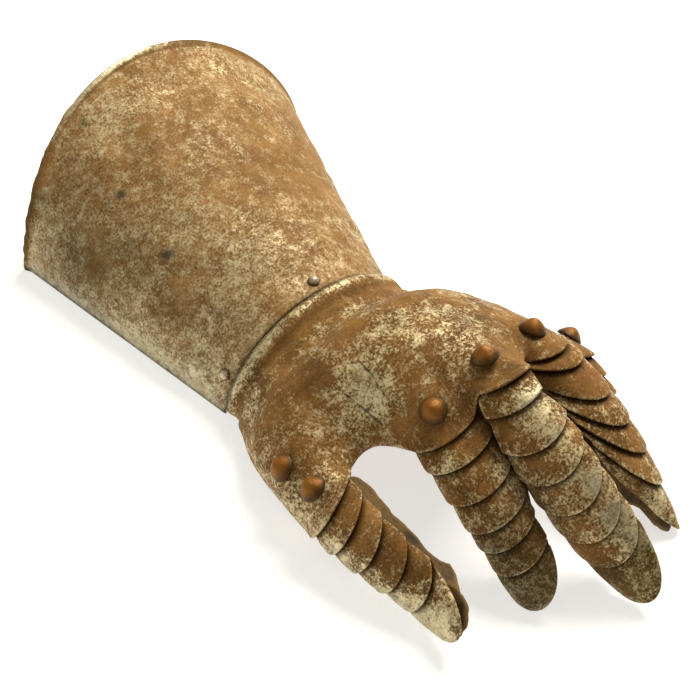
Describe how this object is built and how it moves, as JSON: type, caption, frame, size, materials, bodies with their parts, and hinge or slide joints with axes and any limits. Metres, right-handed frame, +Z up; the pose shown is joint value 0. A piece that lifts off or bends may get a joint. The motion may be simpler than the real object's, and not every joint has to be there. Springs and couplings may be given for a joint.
{
  "type": "armoured gauntlet",
  "caption": "Left plate gauntlet with a flared half cuff, shaped hand plate with raised collar, overlapping finger and thumb lames on leather, and domed rivets.",
  "frame": {"origin": "on the resting surface, under the middle of the whole gauntlet's box", "axes": "+Y from the fingertips along the cuff to its open rim, -X towards the thumb, +Z up through the back of the hand"},
  "size_m": [0.176, 0.34, 0.0726],
  "materials": {
    "cuff_steel": "thin brown rust bloom in fine speckle over worn bare steel, satin",
    "plate_steel": "speckled brown rust patina, bare and bright along the collar, the ridges and the knuckles",
    "lame_steel": "rust patina worn back to pale steel along the free edges",
    "tip_steel": "darker olive-brown patina with worn, pale end edges",
    "rivet_steel": "small domed rivet heads, rusty in the joint and rubbed on top",
    "copper": "pointed domed copper-alloy heads, orange-brown and dull, dark in the joint",
    "leather": "old dry olive-brown leather with ragged edges, matt"
  },
  "bodies": {
    "root": {"cuff": "cuff_steel", "hand_plate": "plate_steel", "index_lame_1": "lame_steel", "index_lame_2": "lame_steel", "index_lame_3": "lame_steel", "index_lame_4": "lame_steel", "index_lame_5": "lame_steel", "index_lame_6": "tip_steel", "index_rivet_1": "copper", "index_strip": "leather", "little_lame_1": "lame_steel", "little_lame_2": "lame_steel", "little_lame_3": "lame_steel", "little_lame_4": "lame_steel", "little_lame_5": "lame_steel", "little_lame_6": "tip_steel", "little_rivet_1": "copper", "little_strip": "leather", "middle_lame_1": "lame_steel", "middle_lame_2": "lame_steel", "middle_lame_3": "lame_steel", "middle_lame_4": "lame_steel", "middle_lame_5": "lame_steel", "middle_lame_6": "lame_steel", "middle_lame_7": "tip_steel", "middle_rivet_1": "copper", "middle_strip": "leather", "ring_lame_1": "lame_steel", "ring_lame_2": "lame_steel", "ring_lame_3": "lame_steel", "ring_lame_4": "lame_steel", "ring_lame_5": "lame_steel", "ring_lame_6": "tip_steel", "ring_rivet_1": "copper", "ring_strip": "leather", "thumb_lame_1": "lame_steel", "thumb_lame_2": "lame_steel", "thumb_lame_3": "lame_steel", "thumb_lame_4": "lame_steel", "thumb_lame_5": "tip_steel", "thumb_rivet_1": "copper", "thumb_rivet_2": "copper", "thumb_strip": "leather", "wrist_rivet_1": "rivet_steel", "wrist_rivet_2": "rivet_steel", "wrist_rivet_3": "rivet_steel"}
  },
  "joints": []
}
